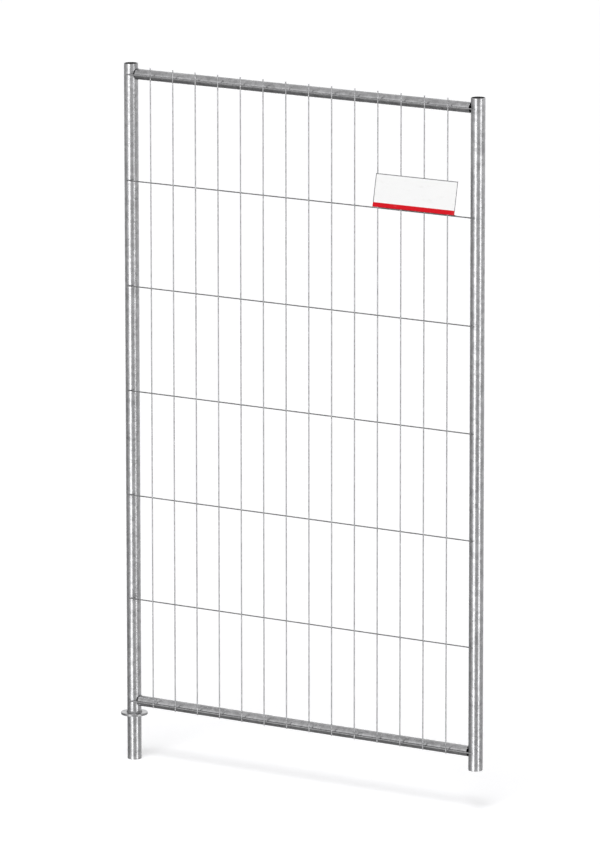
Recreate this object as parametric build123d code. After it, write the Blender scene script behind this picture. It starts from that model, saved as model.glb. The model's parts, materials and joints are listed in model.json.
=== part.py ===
from build123d import *
import os
from math import cos, radians, sin, sqrt

os.makedirs("parts", exist_ok=True)

# A temporary fence gate: one welded leaf that turns on a collar near the foot of its hinge post.
# Millimetres. The origin is on the hinge post's axis at the collar's underside, +Z is up,
# +X runs from the hinge post to the closing post, and the mesh is on the front, towards -Y.

# Posts and rails
post_diameter = 40.0
post_wall = 2.0
post_head = 29.5            # top rail's axis to the posts' open tops
spigot_length = 130.0       # hinge post below the collar
closing_post_drop = 51.0    # bottom rail's axis to the closing post's lower end
rail_diameter = 30.0
rail_wall = 2.0
rail_gap = 1.2              # left between a post and a rail's square end
bottom_rail_height = 41.0   # bottom rail's axis above the collar's underside

# Welded mesh
wire_diameter = 3.5
upright_count = 14
upright_pitch = 75.0
edge_gap = 81.5             # post axis to the nearest upright wire
upright_top_tail = 25.2     # upright wires past the highest cross wire
upright_bottom_tail = 10.0  # upright wires past the lowest cross wire
cross_count = 7
cross_pitch = 300.0
cross_tail = 2.0            # cross wires past the posts' axes
weld_sink = 0.4             # how far a wire is pressed into what it is welded to

# Collar that the leaf stands and turns on
collar_diameter = 76.0
collar_thickness = 6.0
collar_edge = 0.6           # chamfer on the rim's upper edge
collar_clearance = 0.3      # radial, on the post
snap_thickness = 1.75
snap_width = 2.5            # radial
snap_depth = 0.8            # groove in the post
snap_side_play = 0.1
snap_height = 1.4           # groove's middle above the collar's underside
snap_opening = 30.0         # degrees left open in the ring
recess_play = 0.5           # round the snap ring, in the collar's underside
recess_lift = 0.3           # over the snap ring
bead_leg = 2.3              # weld run above the collar, out from the post
bead_height = 5.0

# Welds at the rail ends
rail_weld_leg = 2.2
rail_weld_reach = 10.0      # to the back from the posts' axes

# Sign
sign_width = 263.0
sign_height = 92.5
sign_sheet = 1.5
sign_bend = 1.0             # inside radius of the fold
sign_lean = 12.0            # degrees, top to the back
sign_ledge = 29.0           # folded depth, over the cross wire
sign_ledge_inset = 9.0      # ledge shorter than the face at each end
sign_notch_play = 0.8
sign_first_upright = 11     # the sign's left edge is just past this wire
sign_edge_past = 3.3
sign_cross = 6              # the sign sits on this cross wire, counted from below
clip_uprights = (12, 14)
clip_wall = 0.9
clip_length = 10.0
clip_drop = 9.0             # clip's top below the sign's top edge
clip_mouth = 2.2
clip_neck = 4.0

post_radius = post_diameter / 2
rail_radius = rail_diameter / 2
wire_radius = wire_diameter / 2
snap_inner = post_radius - snap_depth
snap_outer = snap_inner + snap_width
snap_top = snap_height + snap_thickness / 2
bore_radius = post_radius + collar_clearance
top_rail_height = bottom_rail_height + (cross_count - 1) * cross_pitch
post_top = top_rail_height + post_head
post_spacing = 2 * edge_gap + (upright_count - 1) * upright_pitch
# The rails are centred on the posts, so the mesh stands clear in front of them.
rail_y = 0.0
cross_y = -(post_radius + wire_radius - weld_sink)
upright_y = cross_y - (wire_diameter - weld_sink)
# A wire is flattened where it is pressed on the front of a post or another wire.
post_flat = 2 * sqrt(post_radius**2 - (post_radius - weld_sink) ** 2)
wire_flat = 2 * sqrt(wire_radius**2 - (wire_radius - weld_sink) ** 2)

pieces = {}


def upright_x(number):
    return edge_gap + (number - 1) * upright_pitch


def cross_z(number):
    return bottom_rail_height + (number - 1) * cross_pitch


# A round bar's seam line is turned to a side where nothing is welded on.
def rod_z(radius, low, high, x=0.0, y=0.0):
    foot = (Align.CENTER, Align.CENTER, Align.MIN)
    seam = Rot(0, 0, -60)
    return Pos(x, y, low) * seam * Cylinder(radius, high - low, align=foot)


def rod_x(radius, left, right, y, z):
    foot = (Align.CENTER, Align.CENTER, Align.MIN)
    seam = Rot(0, 0, -30)
    return Pos(left, y, z) * Rot(0, 90, 0) * seam * Cylinder(radius, right - left, align=foot)


def turned(points, degrees=360.0):
    outline = make_face(Polyline(*points, close=True))
    return revolve(Plane.XZ * outline, axis=Axis.Z, revolution_arc=degrees)


# Solid blanks of the posts and rails, which the wires and welds are cut to.
hinge_blank = rod_z(post_radius, -spigot_length, post_top)
closing_blank = rod_z(
    post_radius, bottom_rail_height - closing_post_drop, post_top, post_spacing
)
rail_left = post_radius + rail_gap
rail_right = post_spacing - post_radius - rail_gap
rail_blanks = {
    "top": rod_x(rail_radius, rail_left, rail_right, rail_y, top_rail_height),
    "bottom": rod_x(rail_radius, rail_left, rail_right, rail_y, bottom_rail_height),
}


def hinge_post():
    bore = rod_z(post_radius - post_wall, -spigot_length, post_top)
    width = snap_thickness + 2 * snap_side_play
    low = snap_height - width / 2
    groove = rod_z(snap_outer, low, low + width) - rod_z(snap_inner, low, low + width)
    return hinge_blank - bore - groove


def closing_post():
    low = bottom_rail_height - closing_post_drop
    return closing_blank - rod_z(post_radius - post_wall, low, post_top, post_spacing)


def rail(name, height):
    bore = rod_x(rail_radius - rail_wall, rail_left, rail_right, rail_y, height)
    return rail_blanks[name] - bore


def rail_weld(name, height, at_hinge):
    # Weld runs over and under a rail's square end, from where it is nearest to the post to the back.
    # The front is left open.
    inner = rail_radius - rail_wall
    outer = rail_radius + rail_weld_leg
    reach = post_radius
    run = turned(
        [
            (inner, -reach),
            (outer, -reach),
            (outer, 0),
            (rail_radius, rail_weld_leg),
            (rail_radius, 0),
            (inner, 0),
        ]
    )
    end = rail_left if at_hinge else rail_right
    facing = Rot(0, 90 if at_hinge else -90, 0) * Rot(0, 0, -90)
    block = 4 * outer
    held = Box(block, rail_weld_reach, block, align=(Align.CENTER, Align.MIN, Align.CENTER))
    runs = Pos(end, rail_y, height) * (facing * run & held)
    return runs - (hinge_blank if at_hinge else closing_blank) - rail_blanks[name]


def pivot_collar():
    rim = collar_diameter / 2
    recess_radius = snap_outer + recess_play
    return turned(
        [
            (bore_radius, snap_top + recess_lift),
            (recess_radius, snap_top + recess_lift),
            (recess_radius, 0),
            (rim, 0),
            (rim, collar_thickness - collar_edge),
            (rim - collar_edge, collar_thickness),
            (bore_radius, collar_thickness),
        ]
    )


def thrust_bead():
    # A full run of weld with a flat underside that slides on the collar.
    return turned(
        [
            (post_radius, collar_thickness),
            (post_radius + bead_leg, collar_thickness),
            (post_radius, collar_thickness + bead_height),
        ]
    )


def collar_snap_ring():
    low = snap_top - snap_thickness
    return turned(
        [
            (snap_inner, low),
            (snap_outer, low),
            (snap_outer, snap_top),
            (snap_inner, snap_top),
        ],
        360 - snap_opening,
    )


def cross_wire(number):
    wire = rod_x(
        wire_radius, -cross_tail, post_spacing + cross_tail, cross_y, cross_z(number)
    )
    behind = (Align.CENTER, Align.MIN, Align.CENTER)
    flat = Box(post_flat, wire_diameter, 2 * wire_diameter, align=behind)
    for x in (0, post_spacing):
        wire = wire - Pos(x, -post_radius, cross_z(number)) * flat
    return wire


def upright_wire(number):
    x = upright_x(number)
    low = bottom_rail_height - upright_bottom_tail
    wire = rod_z(wire_radius, low, top_rail_height + upright_top_tail, x, upright_y)
    behind = (Align.CENTER, Align.MIN, Align.CENTER)
    flat = Box(2 * wire_diameter, wire_diameter, wire_flat, align=behind)
    for cross in range(1, cross_count + 1):
        wire = wire - Pos(x, cross_y - wire_radius, cross_z(cross)) * flat
    return wire


# The sign is a sheet folded square along its lower edge. Its ledge lies on a cross wire, notched for
# the upright wires, and its top leans on them. Across is measured square to its face, towards
# the back, and along is measured up its face, both from the cross wire's axis.
lean = radians(sign_lean)
sign_left = upright_x(sign_first_upright) - sign_edge_past
sign_bottom = wire_radius
sign_top = sign_bottom + sign_height
uprights_front = upright_y - wire_radius - cross_y
sign_back = (uprights_front - sign_top * sin(lean)) / cos(lean)
sign_front = sign_back - sign_sheet


def on_sign(across, along):
    y = cross_y + across * cos(lean) + along * sin(lean)
    z = cross_z(sign_cross) - across * sin(lean) + along * cos(lean)
    return y, z


def sheet_extruded(points, left, right):
    outline = make_face(Polyline(*[on_sign(*p) for p in points], close=True))
    return Pos(left, 0, 0) * extrude(Plane.YZ * outline, amount=right - left)


def sign_plate():
    sign_right = sign_left + sign_width
    rear = sign_front + sign_ledge
    sheet = sheet_extruded(
        [
            (sign_front, sign_bottom),
            (rear, sign_bottom),
            (rear, sign_bottom + sign_sheet),
            (sign_back, sign_bottom + sign_sheet),
            (sign_back, sign_top),
            (sign_front, sign_top),
        ],
        sign_left,
        sign_right,
    )
    fold = sheet.edges().filter_by(Axis.X)
    outside = fold.sort_by_distance((sign_left, *on_sign(sign_front, sign_bottom)))[0]
    sheet = fillet(outside, sign_bend + sign_sheet)
    fold = sheet.edges().filter_by(Axis.X)
    inside_point = on_sign(sign_back, sign_bottom + sign_sheet)
    sheet = fillet(fold.sort_by_distance((sign_left, *inside_point))[0], sign_bend)
    notch_front = uprights_front - sign_notch_play
    notch_rear = on_sign(rear, sign_top)[0] - cross_y
    notch_middle = cross_y + (notch_front + notch_rear) / 2
    notch = Box(
        wire_diameter + 2 * sign_notch_play,
        notch_rear - notch_front,
        sign_height,
    )
    for number in range(1, upright_count + 1):
        sheet = sheet - Pos(upright_x(number), notch_middle, cross_z(sign_cross)) * notch
    # the ledge stops short of both ends of the face
    behind = sign_back + sign_bend
    past = rear + sign_sheet
    below = sign_bottom - sign_sheet
    above = sign_bottom + 2 * sign_sheet
    corners = [(behind, below), (past, below), (past, above), (behind, above)]
    left_end = sheet_extruded(corners, sign_left, sign_left + sign_ledge_inset)
    right_end = sheet_extruded(corners, sign_right - sign_ledge_inset, sign_right)
    return sheet - left_end - right_end


def sign_clip(number):
    # A spring clip: a sleeve snapped on an upright wire from the front, on a neck from the sign's back.
    x = upright_x(number)
    high = on_sign(sign_back, sign_top - clip_drop)[1]
    low = high - clip_length
    grip = wire_radius + clip_wall
    sleeve = rod_z(grip, low, high, x, upright_y)
    neck_front = cross_y + sign_back
    neck_depth = upright_y - neck_front
    neck = Pos(x, upright_y - neck_depth / 2, (low + high) / 2) * Box(
        clip_neck, neck_depth, clip_length
    )
    mouth = Pos(x, upright_y + grip, (low + high) / 2) * Box(
        clip_mouth, 2 * grip, 2 * clip_length
    )
    ahead_of_sign = sheet_extruded(
        [
            (2 * sign_front, sign_bottom),
            (sign_back, sign_bottom),
            (sign_back, 2 * sign_top),
            (2 * sign_front, 2 * sign_top),
        ],
        x - 2 * clip_neck,
        x + 2 * clip_neck,
    )
    clip = sleeve + neck - mouth - rod_z(wire_radius, low, high, x, upright_y)
    return clip - ahead_of_sign


pieces["hinge_post"] = hinge_post()
pieces["closing_post"] = closing_post()
rail_heights = {"top": top_rail_height, "bottom": bottom_rail_height}
for name, height in rail_heights.items():
    pieces[f"{name}_rail"] = rail(name, height)
for end, at_hinge in (("hinge", True), ("closing", False)):
    welds = [rail_weld(name, height, at_hinge) for name, height in rail_heights.items()]
    pieces[f"rail_welds_{end}"] = Compound(welds)
for number in range(1, cross_count + 1):
    pieces[f"cross_wire_{number}"] = cross_wire(number)
for number in range(1, upright_count + 1):
    pieces[f"upright_wire_{number:02d}"] = upright_wire(number)
pieces["pivot_collar"] = pivot_collar()
pieces["thrust_bead"] = thrust_bead()
pieces["collar_snap_ring"] = collar_snap_ring()
pieces["sign_plate"] = sign_plate()
pieces["sign_clips"] = Compound([sign_clip(number) for number in clip_uprights])

for name, piece in pieces.items():
    export_step(piece, f"parts/{name}.step")
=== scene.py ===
import json
import math

import bmesh
import bpy
from mathutils import Matrix, Vector


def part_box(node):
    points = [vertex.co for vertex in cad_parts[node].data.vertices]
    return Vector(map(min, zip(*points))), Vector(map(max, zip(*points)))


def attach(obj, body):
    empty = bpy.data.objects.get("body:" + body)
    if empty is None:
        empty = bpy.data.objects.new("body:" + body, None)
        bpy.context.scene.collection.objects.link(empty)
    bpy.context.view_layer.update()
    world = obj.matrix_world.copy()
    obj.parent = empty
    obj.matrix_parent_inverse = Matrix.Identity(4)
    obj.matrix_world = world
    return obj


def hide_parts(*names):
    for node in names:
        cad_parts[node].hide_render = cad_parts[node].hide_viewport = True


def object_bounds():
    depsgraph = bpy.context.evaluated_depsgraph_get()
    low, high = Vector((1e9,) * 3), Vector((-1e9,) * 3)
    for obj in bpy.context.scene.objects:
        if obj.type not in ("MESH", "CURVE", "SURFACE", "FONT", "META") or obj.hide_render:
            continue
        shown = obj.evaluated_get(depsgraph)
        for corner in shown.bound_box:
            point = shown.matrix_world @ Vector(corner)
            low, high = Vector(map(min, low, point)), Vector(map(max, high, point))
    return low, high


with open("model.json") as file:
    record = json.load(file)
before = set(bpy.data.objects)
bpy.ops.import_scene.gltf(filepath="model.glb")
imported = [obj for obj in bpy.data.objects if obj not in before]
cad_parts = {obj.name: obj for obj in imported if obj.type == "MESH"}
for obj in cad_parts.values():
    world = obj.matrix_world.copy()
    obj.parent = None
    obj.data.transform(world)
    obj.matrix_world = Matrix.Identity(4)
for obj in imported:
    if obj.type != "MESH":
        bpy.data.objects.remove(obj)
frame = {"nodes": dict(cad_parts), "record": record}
cadLow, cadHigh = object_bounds()

scene = bpy.context.scene
scene.view_settings.view_transform = "Standard"
record = frame["record"]
bodyOf = {node: body for body, nodes in record["behaviour"]["bodies"].items() for node in nodes}
up = Vector((0, 0, 1))
across = Vector((1, 0, 0))
fullTurn = 2 * math.pi
merge = 1e-6  # points this close are one point
white = (1, 1, 1, 1)


# shader maths on sockets
class Signal:
    def __init__(self, paint, socket):
        self.paint = paint
        self.socket = socket

    def joined(self, operation, first, second):
        return self.paint.node("Math", {"operation": operation}, {0: first, 1: second})

    def __add__(self, other):
        return self.joined("ADD", self, other)

    def __sub__(self, other):
        return self.joined("SUBTRACT", self, other)

    def __rsub__(self, other):
        return self.joined("SUBTRACT", other, self)

    def __mul__(self, other):
        return self.joined("MULTIPLY", self, other)

    def least(self, other):
        return self.joined("MINIMUM", self, other)

    __radd__ = __add__
    __rmul__ = __mul__


class Paint:
    def __init__(self, tree):
        self.tree = tree
        tree.nodes.clear()

    # kind is the node's type, settings are its own properties, sockets are its inputs
    def node(self, kind, settings={}, sockets={}, out=0):
        made = self.tree.nodes.new("ShaderNode" + kind)
        for key, value in settings.items():
            setattr(made, key, value)
        for key, value in sockets.items():
            if isinstance(value, Signal):
                self.tree.links.new(value.socket, made.inputs[key])
            else:
                made.inputs[key].default_value = value
        return Signal(self, made.outputs[out]) if made.outputs else None

    def band(self, value, low, high, smooth=True):
        kind = "SMOOTHSTEP" if smooth else "LINEAR"
        sockets = {"Value": value, "From Min": low, "From Max": high}
        return self.node("MapRange", {"interpolation_type": kind}, sockets)

    # a Mix node's colours are its sockets 6 and 7, and its mixed colour is output 2
    def blend(self, share, first, second):
        sockets = {"Factor": share, 6: first, 7: second}
        return self.node("Mix", {"data_type": "RGBA"}, sockets, out=2)

    def noise(self, point, scale, detail=2.0, stretch=(1, 1, 1)):
        moved = self.node("Mapping", {}, {"Vector": point, "Scale": stretch})
        sockets = {"Vector": moved, "Scale": scale, "Detail": detail}
        return self.node("TexNoise", {}, sockets)


def centreOf(node):
    low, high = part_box(node)
    return (low + high) / 2


def newFinish(name):
    finish = bpy.data.materials.new(name)
    finish.use_nodes = True
    paint = Paint(finish.node_tree)
    return finish, paint


# hot-dip zinc: crystal cells, cloudy patches, runs along the piece and a few dull specks
# cells have wavy borders, whose bends are given in cell sizes
zinc = dict(tint=1.02, bendScale=0.81, bend=0.667, cellShare=0.45, cloudShare=0.75, cloudDetail=4,
            runShare=0.6, runDetail=3, darkAt=0.35, lightAt=1.45, speckScale=420, speckDetail=3,
            speckFrom=0.66, speckTo=0.76, speckShare=0.5, speckDark=0.6, speckRough=0.15,
            grainScale=700, cellHeight=0.4, grainHeight=0.3, relief=0.0006)


def grey(level):
    return (level, level, level * zinc["tint"], 1)


def zincFinish(name, look):
    finish, paint = newFinish(name)
    point = paint.node("TexCoord", out="Object")
    bendScale = zinc["bendScale"] / look["cell"]
    bend = paint.node("TexNoise", {}, {"Vector": point, "Scale": bendScale}, out="Color")
    shift = {0: bend, 1: (zinc["bend"] * look["cell"],) * 3, 2: point}
    bent = paint.node("VectorMath", {"operation": "MULTIPLY_ADD"}, shift)
    cells = paint.node("TexVoronoi", {}, {"Vector": bent, "Scale": 1 / look["cell"]}, out="Color")
    spangle = paint.node("SeparateColor", {}, {"Color": cells}, out="Red")
    sheen = paint.node("SeparateColor", {}, {"Color": cells}, out="Green")
    cloud = paint.noise(point, look["cloud"], zinc["cloudDetail"])
    runs = paint.noise(point, 1, zinc["runDetail"], look["runs"])
    grain = paint.noise(point, zinc["grainScale"])
    flecks = paint.noise(point, zinc["speckScale"], zinc["speckDetail"])
    speck = paint.band(flecks, zinc["speckFrom"], zinc["speckTo"])
    tone = spangle * zinc["cellShare"] + cloud * zinc["cloudShare"] + runs * zinc["runShare"]
    share = paint.band(tone, zinc["darkAt"], zinc["lightAt"], False)
    clean = paint.blend(share, grey(look["dark"]), grey(look["light"]))
    colour = paint.blend(speck * zinc["speckShare"], clean, grey(look["dark"] * zinc["speckDark"]))
    rough = sheen * look["roughSpread"] + speck * zinc["speckRough"] + look["rough"]
    height = spangle * zinc["cellHeight"] + grain * zinc["grainHeight"] + cloud
    relief = {"Height": height, "Strength": look["bump"], "Distance": zinc["relief"]}
    bump = paint.node("Bump", {}, relief)
    sockets = {"Base Color": colour, "Metallic": 1.0, "Roughness": rough, "Normal": bump}
    surface = paint.node("BsdfPrincipled", {}, sockets)
    paint.node("OutputMaterial", {}, {"Surface": surface})
    return finish


postLook = dict(cell=0.009, cloud=38, runs=(110, 110, 9), dark=0.245, light=0.57,
                rough=0.26, roughSpread=0.06, bump=0.05)
railLook = dict(postLook, runs=(9, 110, 110), dark=0.23, light=0.52, rough=0.22, bump=0.1)
# inside the tubes the zinc is made near black and dull: painted shade in the bores
boreShadeLook = dict(postLook, dark=0.05, light=0.11, rough=0.55)
# the collar's zinc is painted lighter for its lit top, and its outer side and chamfer take a darker
# copy as painted shade
collarLitLook = dict(postLook, runs=(60, 60, 60), dark=0.35, light=0.65)
collarSideShadeLook = dict(collarLitLook, dark=0.20, light=0.44, rough=0.34)
uprightLook = dict(cell=0.0026, cloud=350, runs=(200, 200, 320), dark=0.06, light=0.66,
                   rough=0.28, roughSpread=0.10, bump=0.1)
# the middle cross wires are a darker copy of the wire zinc, painted shade; the two edge wires in front
# of the rails take a less dark copy
crossShadeLook = dict(uprightLook, runs=(260, 200, 200), dark=0.04, light=0.42)
edgeLook = dict(crossShadeLook, dark=0.19, light=0.52)
# the weld beads are real, their dark tone is painted shade at the joints; the thrust bead on the
# collar is darker still, a painted contact shadow
weldShadeLook = dict(cell=0.003, cloud=150, runs=(90, 90, 90), dark=0.13, light=0.32,
                rough=0.38, roughSpread=0.15, bump=0.4)
thrustShadeLook = dict(weldShadeLook, dark=0.12, light=0.28)
spotLook = dict(weldShadeLook, dark=0.24, light=0.52)
springLook = dict(cell=0.002, cloud=80, runs=(300, 300, 300), dark=0.20, light=0.31,
                  rough=0.30, roughSpread=0.05, bump=0.1)
postZinc = zincFinish("post zinc", postLook)
railZinc = zincFinish("rail zinc", railLook)
boreShadeZinc = zincFinish("painted shade in bores", boreShadeLook)
collarLitZinc = zincFinish("collar top zinc, painted light", collarLitLook)
collarSideShadeZinc = zincFinish("collar side, painted shade", collarSideShadeLook)
uprightZinc = zincFinish("upright wire zinc", uprightLook)
crossShadeZinc = zincFinish("cross wires, painted shade", crossShadeLook)
edgeZinc = zincFinish("edge wire zinc", edgeLook)
weldShadeZinc = zincFinish("weld zinc", weldShadeLook)
thrustShadeZinc = zincFinish("thrust bead, painted shadow", thrustShadeLook)
spotZinc = zincFinish("spot weld zinc", spotLook)
springSteel = zincFinish("spring steel", springLook)


# sheet printed white, with a red band round its fold, thin dark rims painted as shade along its left,
# right and top edges, and an unpainted rolled back
signSheet = dict(lean=12, height=0.0925, thick=0.0015, inkFrom=0.6, inkTo=0.85, band=0.0126,
                 wrap=0.004, soft=0.0001, rimLeft=0.0028, rimRight=0.0014, rimTop=0.0027, rimInner=0.8)
signTones = dict(white=(0.94, 0.94, 0.935, 1), red=(0.67, 0.005, 0.014, 1),
                 rimShade=(0.22, 0.225, 0.23, 1), dust=(0.50, 0.48, 0.44, 1),
                 backDark=(0.48, 0.49, 0.50, 1), backLight=(0.63, 0.64, 0.65, 1))
signWear = dict(speckScale=260, speckDetail=5, speckShare=0.5, smears=(26, 60, 90), smearDetail=4,
                dustFrom=0.80, dustTo=1.15, dust=0.18, rolled=(5, 800, 800), rolledDetail=3,
                rolledShare=0.6, stains=38, stainDetail=3, stainShare=0.4, backFrom=0.40, backTo=0.62,
                grainScale=400, bump=0.05, relief=0.0004, shine=0.12, rough=0.32, speckRough=0.10,
                dustRough=0.05, backRough=0.10)


def signFinish(name, sheet, tones, wear):
    finish, paint = newFinish(name)
    low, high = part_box("sign_plate")
    wireLow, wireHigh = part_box("cross_wire_6")
    wire = centreOf("cross_wire_6")
    lean = math.radians(sheet["lean"])
    foot = (wireHigh.z - wireLow.z) / 2
    top = foot + sheet["height"]
    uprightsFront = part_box("upright_wire_12")[0].y - wire.y
    front = (uprightsFront - top * math.sin(lean)) / math.cos(lean) - sheet["thick"]
    rise = Vector((0, math.sin(lean), math.cos(lean)))
    inward = Vector((0, math.cos(lean), -math.sin(lean)))
    corner = wire + rise * foot + inward * front

    point = paint.node("TexCoord", out="Object")
    local = paint.node("VectorMath", {"operation": "SUBTRACT"}, {0: point, 1: corner})
    dot = {"operation": "DOT_PRODUCT"}
    along = paint.node("VectorMath", dot, {0: local, 1: rise}, out="Value")
    depth = paint.node("VectorMath", dot, {0: local, 1: inward}, out="Value")
    side = paint.node("SeparateXYZ", {}, {"Vector": point}, out="X")

    # print is on the outside of the sheet and ends a little way under its fold
    inkFrom, inkTo = sheet["thick"] * sheet["inkFrom"], sheet["thick"] * sheet["inkTo"]
    outside = 1 - paint.band(depth.least(along), inkFrom, inkTo)
    face = outside * (1 - paint.band(depth, sheet["wrap"], sheet["wrap"] + sheet["thick"]))
    band = 1 - paint.band(along, sheet["band"] - sheet["soft"], sheet["band"] + sheet["soft"])
    # dark rims of painted shade along the left, right and top edges, of different widths
    left, right, upper = (sheet[rim] for rim in ("rimLeft", "rimRight", "rimTop"))
    brim = sheet["height"]
    inLeft = paint.band(side, low.x + left * sheet["rimInner"], low.x + left)
    inRight = 1 - paint.band(side, high.x - right, high.x - right * sheet["rimInner"])
    inTop = 1 - paint.band(along, brim - upper, brim - upper * sheet["rimInner"])
    inner = inLeft * inRight * inTop

    speck = paint.noise(point, wear["speckScale"], wear["speckDetail"])
    smear = paint.noise(point, 1, wear["smearDetail"], wear["smears"])
    soiled = speck * wear["speckShare"] + smear
    dust = paint.band(soiled, wear["dustFrom"], wear["dustTo"]) * wear["dust"]
    printed = paint.blend(band, tones["white"], tones["red"])
    rimmed = paint.blend(inner + band * (1 - inner), tones["rimShade"], printed)
    dusty = paint.blend(dust, rimmed, tones["dust"])
    streaks = paint.noise(point, 1, wear["rolledDetail"], wear["rolled"]) * wear["rolledShare"]
    stains = paint.noise(point, wear["stains"], wear["stainDetail"]) * wear["stainShare"]
    pale = paint.band(streaks + stains, wear["backFrom"], wear["backTo"])
    rolled = paint.blend(pale, tones["backDark"], tones["backLight"])
    colour = paint.blend(face, rolled, dusty)
    metal = 1 - face
    rough = (speck * wear["speckRough"] + dust * wear["dustRough"] + metal * wear["backRough"]
             + wear["rough"])
    grain = paint.noise(point, wear["grainScale"])
    relief = {"Height": grain, "Strength": wear["bump"], "Distance": wear["relief"]}
    bump = paint.node("Bump", {}, relief)
    sockets = {"Base Color": colour, "Metallic": metal, "Roughness": rough, "Normal": bump,
               "Specular IOR Level": wear["shine"]}
    surface = paint.node("BsdfPrincipled", {}, sockets)
    paint.node("OutputMaterial", {}, {"Surface": surface})
    return finish


signPaint = signFinish("sign paint", signSheet, signTones, signWear)
print("finishes made")


def addPiece(mesh, node, word, *finishes):
    for face in mesh.faces:
        face.smooth = True
    name = f"{node}_{word}"
    data = bpy.data.meshes.new(name)
    mesh.to_mesh(data)
    mesh.free()
    for finish in finishes:
        data.materials.append(finish)
    piece = bpy.data.objects.new(name, data)
    scene.collection.objects.link(piece)
    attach(piece, bodyOf[node])
    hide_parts(node)


# angles between faces, in degrees, past which an edge is rounded or stays sharp
rims = dict(rounded=60, sharp=20, beadSharp=50, segments=2)


def roundRims(mesh, size):
    limit = math.radians(rims["rounded"])
    edges = [edge for edge in mesh.edges if edge.is_manifold and edge.calc_face_angle() > limit]
    bmesh.ops.bevel(mesh, geom=edges, offset=size, segments=rims["segments"], profile=0.5,
                    affect="EDGES", material=-1, clamp_overlap=True)
    bmesh.ops.remove_doubles(mesh, verts=mesh.verts, dist=merge)


# sharp rims leave long faces their straight normals
def keepRims(mesh, sharp=rims["sharp"]):
    bmesh.ops.recalc_face_normals(mesh, faces=mesh.faces)
    limit = math.radians(sharp)
    for edge in mesh.edges:
        edge.smooth = not edge.is_manifold or edge.calc_face_angle() < limit


# long narrow faces are cut across, because the grain frays on them
slender = dict(longest=0.1, cuts=7)


def cutAcross(mesh):
    lengths = [edge for edge in mesh.edges if edge.calc_length() > slender["longest"]]
    bmesh.ops.subdivide_edges(mesh, edges=lengths, cuts=slender["cuts"])


# a closed outline of (radius, along) points, turned all the way round an axis
def spunRing(outline, middle, axis, steps):
    mesh = bmesh.new()
    side = axis.orthogonal().normalized()
    corners = [mesh.verts.new(middle + side * radius + axis * along) for radius, along in outline]
    edges = [mesh.edges.new((corners[i - 1], corners[i])) for i in range(len(corners))]
    bmesh.ops.spin(mesh, geom=corners + edges, cent=middle, axis=axis, angle=fullTurn,
                   steps=steps, use_merge=True)
    bmesh.ops.remove_doubles(mesh, verts=mesh.verts, dist=merge)
    bmesh.ops.recalc_face_normals(mesh, faces=mesh.faces)
    return mesh


# faces turned to the axis get the second finish
def lineBore(mesh, middle, axis, limit):
    for face in mesh.faces:
        offset = face.calc_center_median() - middle
        face.material_index = int((offset - axis * offset.dot(axis)).length < limit)


posts = dict(radius=0.020, wall=0.002, steps=72, rim=0.0004)
groove = dict(radius=0.0192, low=0.000425, high=0.002375)
for node in ("hinge_post", "closing_post"):
    low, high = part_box(node)
    middle = centreOf(node)
    foot = Vector((middle.x, middle.y, 0))
    outer, inner = posts["radius"], posts["radius"] - posts["wall"]
    outline = [(inner, low.z), (outer, low.z), (outer, high.z), (inner, high.z)]
    if node == "hinge_post":
        outline[2:2] = [(outer, groove["low"]), (groove["radius"], groove["low"]),
                        (groove["radius"], groove["high"]), (outer, groove["high"])]
    mesh = spunRing(outline, foot, up, posts["steps"])
    cutAcross(mesh)
    roundRims(mesh, posts["rim"])
    keepRims(mesh)
    lineBore(mesh, foot, up, inner + posts["rim"] / 2)
    addPiece(mesh, node, "tube", postZinc, boreShadeZinc)

rails = dict(radius=0.015, wall=0.002, steps=64, rim=0.0004)
for node in ("top_rail", "bottom_rail"):
    low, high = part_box(node)
    middle = centreOf(node)
    end = Vector((0, middle.y, middle.z))
    outer, inner = rails["radius"], rails["radius"] - rails["wall"]
    outline = [(inner, low.x), (outer, low.x), (outer, high.x), (inner, high.x)]
    mesh = spunRing(outline, end, across, rails["steps"])
    cutAcross(mesh)
    roundRims(mesh, rails["rim"])
    keepRims(mesh)
    lineBore(mesh, end, across, inner + rails["rim"] / 2)
    addPiece(mesh, node, "tube", railZinc, boreShadeZinc)
print("posts and rails made")


wires = dict(sides=20, rim=0.0003)
spots = dict(sides=10, rings=6, onCross=(0.0023, 0.0010, 0.0023), onPost=(0.0034, 0.0018, 0.0026))
uprights = sorted(node for node in frame["nodes"] if node.startswith("upright_wire"))
crossWires = sorted(node for node in frame["nodes"] if node.startswith("cross_wire"))


def wireRod(node, axis):
    low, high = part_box(node)
    size = high - low
    radius = min(size) / 2
    mesh = bmesh.new()
    turn = up.rotation_difference(axis).to_matrix().to_4x4()
    matrix = Matrix.Translation(centreOf(node)) @ turn
    bmesh.ops.create_cone(mesh, cap_ends=True, segments=wires["sides"], radius1=radius,
                          radius2=radius, depth=max(size), matrix=matrix)
    cutAcross(mesh)
    roundRims(mesh, wires["rim"])
    keepRims(mesh)
    return mesh


# a flattened drop of metal pressed out of a spot weld, smooth all over and in the second finish
def addSpot(mesh, place, size):
    matrix = Matrix.Translation(place) @ Matrix.Diagonal((*size, 1))
    made = bmesh.ops.create_uvsphere(mesh, u_segments=spots["sides"], v_segments=spots["rings"],
                                     radius=1, matrix=matrix)
    for face in {face for vert in made["verts"] for face in vert.link_faces}:
        face.material_index = 1


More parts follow.
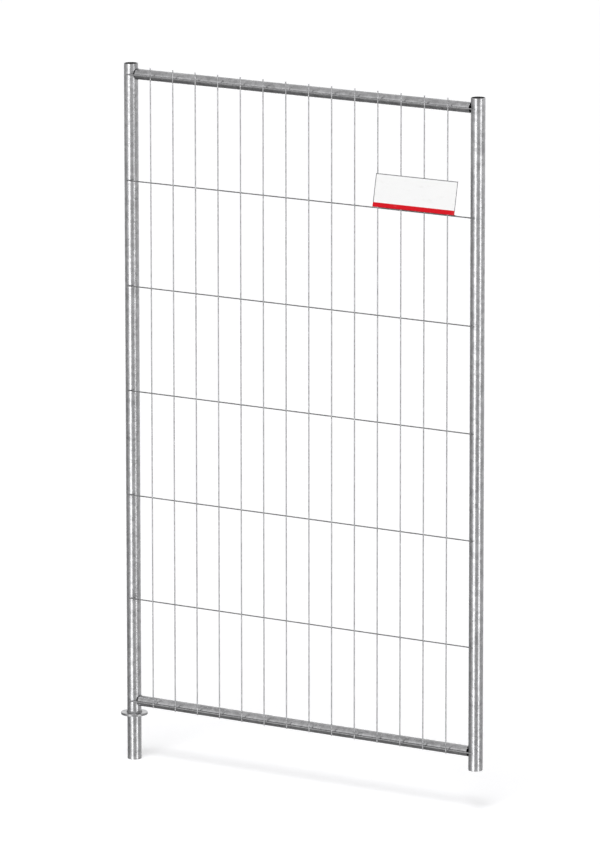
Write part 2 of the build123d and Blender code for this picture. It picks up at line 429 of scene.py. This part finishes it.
for node in uprights:
    mesh = wireRod(node, up)
    place = centreOf(node)
    for crossNode in crossWires:
        behind = centreOf(crossNode)
        seat = Vector((place.x, (place.y + behind.y) / 2, behind.z))
        addSpot(mesh, seat, spots["onCross"])
    addPiece(mesh, node, "rod", uprightZinc, spotZinc)
for node in crossWires:
    mesh = wireRod(node, across)
    place = centreOf(node)
    for postNode in ("hinge_post", "closing_post"):
        post = centreOf(postNode)
        seat = Vector((post.x, post.y - posts["radius"], place.z))
        addSpot(mesh, seat, spots["onPost"])
    atEdge = node in (crossWires[0], crossWires[-1])
    addPiece(mesh, node, "rod", edgeZinc if atEdge else crossShadeZinc, spotZinc)
print("wires made")


# how full a bead is along its run: one rounded lobe for each ripple
def rippled(run, bead):
    lobe = abs(math.sin(math.pi * run / bead["pitch"]))
    return 1 + bead["depth"] * (lobe - bead["level"])


# drawn in at both ends of a run
def drawnIn(run, length, bead):
    nearEnd = max(min(run, length - run) / bead["taper"], 0.0)
    return min(1.0, bead["tip"] + (1 - bead["tip"]) * math.sqrt(nearEnd))


# points of a weld's section, sunk into what it joins, with a slightly full face
def beadSection(bead):
    section = [(-bead["sink"], -bead["foot"]), (bead["out"], -bead["foot"])]
    for step in range(bead["points"] + 1):
        share = step / bead["points"]
        swell = 1 + bead["fullness"] * math.sin(math.pi * share)
        section.append((bead["out"] * (1 - share) * swell, bead["rise"] * share * swell))
    return section + [(-bead["sink"], bead["rise"])]


def beadLoop(mesh, corners):
    verts = [mesh.verts.new(corner) for corner in corners]
    edges = [mesh.edges.new((verts[i - 1], verts[i])) for i in range(len(verts))]
    return verts + edges


railBead = dict(out=0.0022, rise=0.0022, sink=0.002, foot=0.0018, fullness=0.10, points=6, steps=48,
                pitch=0.0021, depth=0.16, level=0.6, taper=0.003, tip=0.35)


# side is the way from the post to the rail, face is 1 over the rail and -1 under it
def layRailBead(mesh, rail, end, post, side, face, first, last):
    before = set(mesh.verts)
    ring = rails["radius"]
    start = Matrix.Rotation(-face * first, 4, "X")
    section = beadSection(railBead)
    corners = [rail + start @ Vector((out, 0, face * (ring + rise))) for out, rise in section]
    bmesh.ops.spin(mesh, geom=beadLoop(mesh, corners), cent=rail, axis=across,
                   angle=face * (first - last), steps=railBead["steps"])
    for vert in set(mesh.verts) - before:
        offset = vert.co - rail
        angle = math.atan2(offset.y, face * offset.z)
        run, length = (angle - first) * ring, (last - first) * ring
        size = rippled(run, railBead) * drawnIn(run, length, railBead)
        height = math.hypot(offset.y, offset.z) - ring
        radius = ring + height * (size if height > 0 else 1)
        y = rail.y + radius * math.sin(angle)
        onPost = math.sqrt(posts["radius"] ** 2 - (y - post.y) ** 2)
        width = abs(end - post.x) - onPost + railBead["out"] * size
        out = offset.x * (width / railBead["out"] if offset.x > 0 else 1)
        vert.co = (post.x + side * (onPost + out), y, rail.z + face * radius * math.cos(angle))
    tips = [edge for edge in mesh.edges if edge.is_boundary]
    bmesh.ops.holes_fill(mesh, edges=tips, sides=len(corners))


railEnds = (("rail_welds_hinge", "hinge_post", 1), ("rail_welds_closing", "closing_post", -1))
for node, postNode, side in railEnds:
    mesh = bmesh.new()
    for railNode in ("top_rail", "bottom_rail"):
        rail = centreOf(railNode)
        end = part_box(railNode)[0 if side > 0 else 1].x
        rail.x = 0
        first, last = (math.asin((corner.y - rail.y) / rails["radius"]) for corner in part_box(node))
        for face in (1, -1):
            layRailBead(mesh, rail, end, centreOf(postNode), side, face, first, last)
    keepRims(mesh, rims["beadSharp"])
    addPiece(mesh, node, "beads", weldShadeZinc)

thrustBead = dict(out=0.0023, rise=0.005, sink=0.0005, foot=0.0, fullness=0.12, points=6,
                  ripples=46, rippleSteps=8, depth=0.11, level=0.6, gap=0.00002)
thrustBead["pitch"] = fullTurn * posts["radius"] / thrustBead["ripples"]
mesh = bmesh.new()
foot = centreOf("hinge_post")
foot.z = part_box("thrust_bead")[0].z + thrustBead["gap"]
section = beadSection(thrustBead)
corners = [foot + across * (posts["radius"] + out) + up * rise for out, rise in section]
bmesh.ops.spin(mesh, geom=beadLoop(mesh, corners), cent=foot, axis=up, angle=fullTurn,
               steps=thrustBead["ripples"] * thrustBead["rippleSteps"], use_merge=True)
bmesh.ops.remove_doubles(mesh, verts=mesh.verts, dist=merge)
for vert in mesh.verts:
    offset = vert.co - foot
    angle = math.atan2(offset.y, offset.x) % fullTurn
    size = rippled(angle * posts["radius"], thrustBead)
    out = math.hypot(offset.x, offset.y) - posts["radius"]
    radius = posts["radius"] + out * (size if out > 0 else 1)
    vert.co = foot + Vector((math.cos(angle) * radius, math.sin(angle) * radius, offset.z * size))
keepRims(mesh, rims["beadSharp"])
addPiece(mesh, "thrust_bead", "weld", thrustShadeZinc)
print("weld beads laid")

collar = dict(radius=0.038, bore=0.0203, recess=0.0222, recessTop=0.002575, chamfer=0.0006,
              steps=96, rim=0.0002)
low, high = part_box("pivot_collar")
outline = [(collar["bore"], high.z), (collar["bore"], collar["recessTop"]),
           (collar["recess"], collar["recessTop"]), (collar["recess"], low.z),
           (collar["radius"], low.z), (collar["radius"], high.z - collar["chamfer"]),
           (collar["radius"] - collar["chamfer"], high.z)]
mesh = spunRing(outline, Vector(), up, collar["steps"])
roundRims(mesh, collar["rim"])
keepRims(mesh)
# the outer side and chamfer take the darker copy, painted shade
for face in mesh.faces:
    reach = math.hypot(*face.calc_center_median().xy)
    face.material_index = int(reach > collar["radius"] - collar["chamfer"])
addPiece(mesh, "pivot_collar", "ring", collarLitZinc, collarSideShadeZinc)
print("collar turned")

# these keep their solids and get a finish alone
solids = dict(collar_snap_ring=springSteel, sign_clips=springSteel, sign_plate=signPaint)
for node, finish in solids.items():
    finishes = frame["nodes"][node].data.materials
    finishes.clear()
    finishes.append(finish)
print("sign, clips and snap ring painted")

# pale floor with a soft shadow, lifted to white for the camera alone
floorPlan = dict(size=60.0, colour=0.9, lift=0.48)
floorMesh = bmesh.new()
bmesh.ops.create_grid(floorMesh, x_segments=1, y_segments=1, size=floorPlan["size"] / 2)
bmesh.ops.translate(floorMesh, vec=(0, 0, cadLow.z), verts=floorMesh.verts)
floorData = bpy.data.meshes.new("floor")
floorMesh.to_mesh(floorData)
floorMesh.free()
floor = bpy.data.objects.new("floor", floorData)
scene.collection.objects.link(floor)
# panels shine up through it, and metal mirrors the world's grey floor instead
floor.visible_glossy = False
floor.visible_shadow = False
floorFinish, paint = newFinish("floor")
matt = paint.node("BsdfDiffuse", {}, {"Color": grey(floorPlan["colour"])})
shine = paint.node("Emission", {}, {"Color": white, "Strength": floorPlan["lift"]})
seen = paint.node("LightPath", out="Is Camera Ray")
lit = paint.node("AddShader", {}, {0: matt, 1: shine})
surface = paint.node("MixShader", {}, {0: seen, 1: matt, 2: lit})
paint.node("OutputMaterial", {}, {"Surface": surface})
floorData.materials.append(floorFinish)

# the camera sees white
# metal sees it too, brighter at the back, dimmer to the left, and a grey floor that darkens close by
worldPlan = dict(ambient=0.28, seen=1.0, mirrored=0.86, leftLoss=0.18, leftFrom=0.50, leftTo=0.90,
                 backGain=0.14, backFrom=0.30, backTo=0.80, floorLoss=0.38, floorFrom=0.17,
                 floorTo=0.22, nearLoss=0.18, nearFrom=0.42, nearTo=0.50)
world = bpy.data.worlds.new("studio")
scene.world = world
world.use_nodes = True
paint = Paint(world.node_tree)
camera = paint.node("LightPath", out="Is Camera Ray")
glossy = paint.node("LightPath", out="Is Glossy Ray")
through = paint.node("LightPath", out="Is Transmission Ray")
direction = paint.node("TexCoord", out="Generated")
leftward = -1 * paint.node("SeparateXYZ", {}, {"Vector": direction}, out="X")
backward = paint.node("SeparateXYZ", {}, {"Vector": direction}, out="Y")
downward = -1 * paint.node("SeparateXYZ", {}, {"Vector": direction}, out="Z")
gain = (paint.band(backward, worldPlan["backFrom"], worldPlan["backTo"]) * worldPlan["backGain"]
        - paint.band(leftward, worldPlan["leftFrom"], worldPlan["leftTo"]) * worldPlan["leftLoss"]
        - paint.band(downward, worldPlan["floorFrom"], worldPlan["floorTo"]) * worldPlan["floorLoss"]
        - paint.band(downward, worldPlan["nearFrom"], worldPlan["nearTo"]) * worldPlan["nearLoss"])
shown = paint.band(camera + through, 0, 1, False)
strength = (worldPlan["ambient"] + shown * (worldPlan["seen"] - worldPlan["ambient"])
            + glossy * (gain + worldPlan["mirrored"] - worldPlan["ambient"]))
sky = paint.node("Background", {}, {"Color": white, "Strength": strength})
paint.node("OutputWorld", {}, {"Surface": sky})


# azimuth 0 is the gate's front, 90 is the closing post's side
def towards(azimuth, elevation):
    turn, rise = math.radians(azimuth), math.radians(elevation)
    level = math.cos(rise)
    return Vector((math.sin(turn) * level, -math.cos(turn) * level, math.sin(rise)))


def addLamp(name, kind, place, aim, **settings):
    light = bpy.data.lights.new(name, kind)
    for key, value in settings.items():
        setattr(light, key, value)
    lamp = bpy.data.objects.new(name, light)
    scene.collection.objects.link(lamp)
    lamp.location = place
    lamp.rotation_euler = aim.to_track_quat("-Z", "Y").to_euler()
    lamp.visible_camera = False


middle = (cadLow + cadHigh) / 2
panels = dict(front=dict(azimuth=-3, distance=40, width=17.0, low=-28.0, high=20.0, glow=2.85),
              fill=dict(azimuth=-32, distance=40, width=14.0, low=-28.0, high=20.0, glow=0.30),
              side=dict(azimuth=80, distance=40, width=10.0, low=-28.0, high=20.0, glow=3.25),
              back=dict(azimuth=214, distance=40, width=12.0, low=-16.0, high=0.0, glow=2.1))
for name, panel in panels.items():
    away = towards(panel["azimuth"], 0)
    height = panel["high"] - panel["low"]
    place = middle + away * panel["distance"]
    place.z = (panel["low"] + panel["high"]) / 2
    power = panel["glow"] * math.pi * panel["width"] * height
    addLamp(name + "Panel", "AREA", place, -away, shape="RECTANGLE", size=panel["width"],
            size_y=height, energy=power)
keySun = dict(azimuth=20, elevation=58, distance=5, strength=1.05, softness=25)
aim = -towards(keySun["azimuth"], keySun["elevation"])
addLamp("keySun", "SUN", middle - aim * keySun["distance"], aim, energy=keySun["strength"],
        angle=math.radians(keySun["softness"]))

# a long lens far away; angles in degrees, lens and sensor in millimetres
view = dict(place=(11.6951, -17.23905, 5.0939), yaw=32.856, down=11.604, roll=-0.042, lens=313.817,
            sensor=36, far=200)
cameraData = bpy.data.cameras.new("camera")
cameraData.lens = view["lens"]
cameraData.sensor_width = view["sensor"]
cameraData.clip_end = view["far"]
cameraObject = bpy.data.objects.new("camera", cameraData)
scene.collection.objects.link(cameraObject)
turns = (Matrix.Rotation(math.radians(view["yaw"]), 4, "Z")
         @ Matrix.Rotation(math.radians(90 - view["down"]), 4, "X")
         @ Matrix.Rotation(math.radians(view["roll"]), 4, "Z"))
cameraObject.matrix_world = Matrix.Translation(view["place"]) @ turns
scene.camera = cameraObject
print("stage, lamps and camera made")
